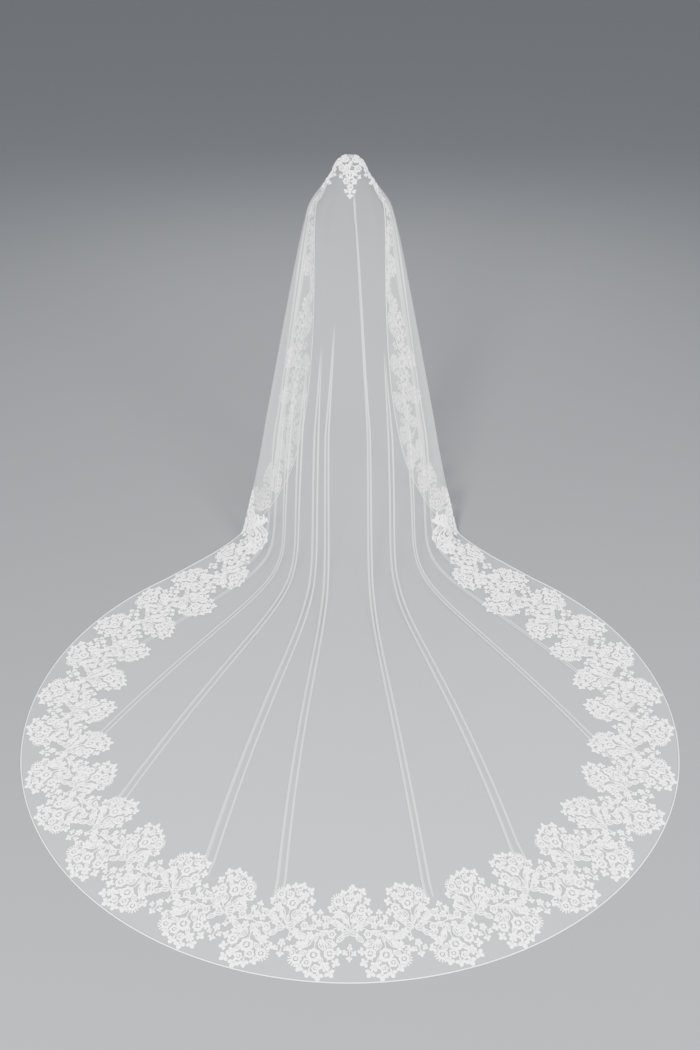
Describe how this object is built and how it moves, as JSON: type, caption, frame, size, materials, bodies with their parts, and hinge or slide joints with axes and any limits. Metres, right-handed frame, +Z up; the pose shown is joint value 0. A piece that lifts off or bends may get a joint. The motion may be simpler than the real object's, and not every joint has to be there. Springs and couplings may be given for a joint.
{
  "type": "bridal veil",
  "caption": "Cathedral-length mantilla bridal veil as worn: tulle panel over head and shoulders with a round train and a scalloped lace border.",
  "frame": {"origin": "crown of the wearer's head, on the inner face of the tulle", "axes": "+Z up, +Y the way the wearer faces, so the train trails towards -Y"},
  "size_m": [2.7092, 3.41, 1.7243],
  "materials": {
    "tulle": "sheer soft net with a faint sheen",
    "lace": "matt raised floral lace"
  },
  "bodies": {
    "root": {"veil_tulle": "tulle", "lace_crown": "lace", "lace_front_left": "lace", "lace_front_right": "lace", "lace_train": "lace"}
  },
  "joints": []
}
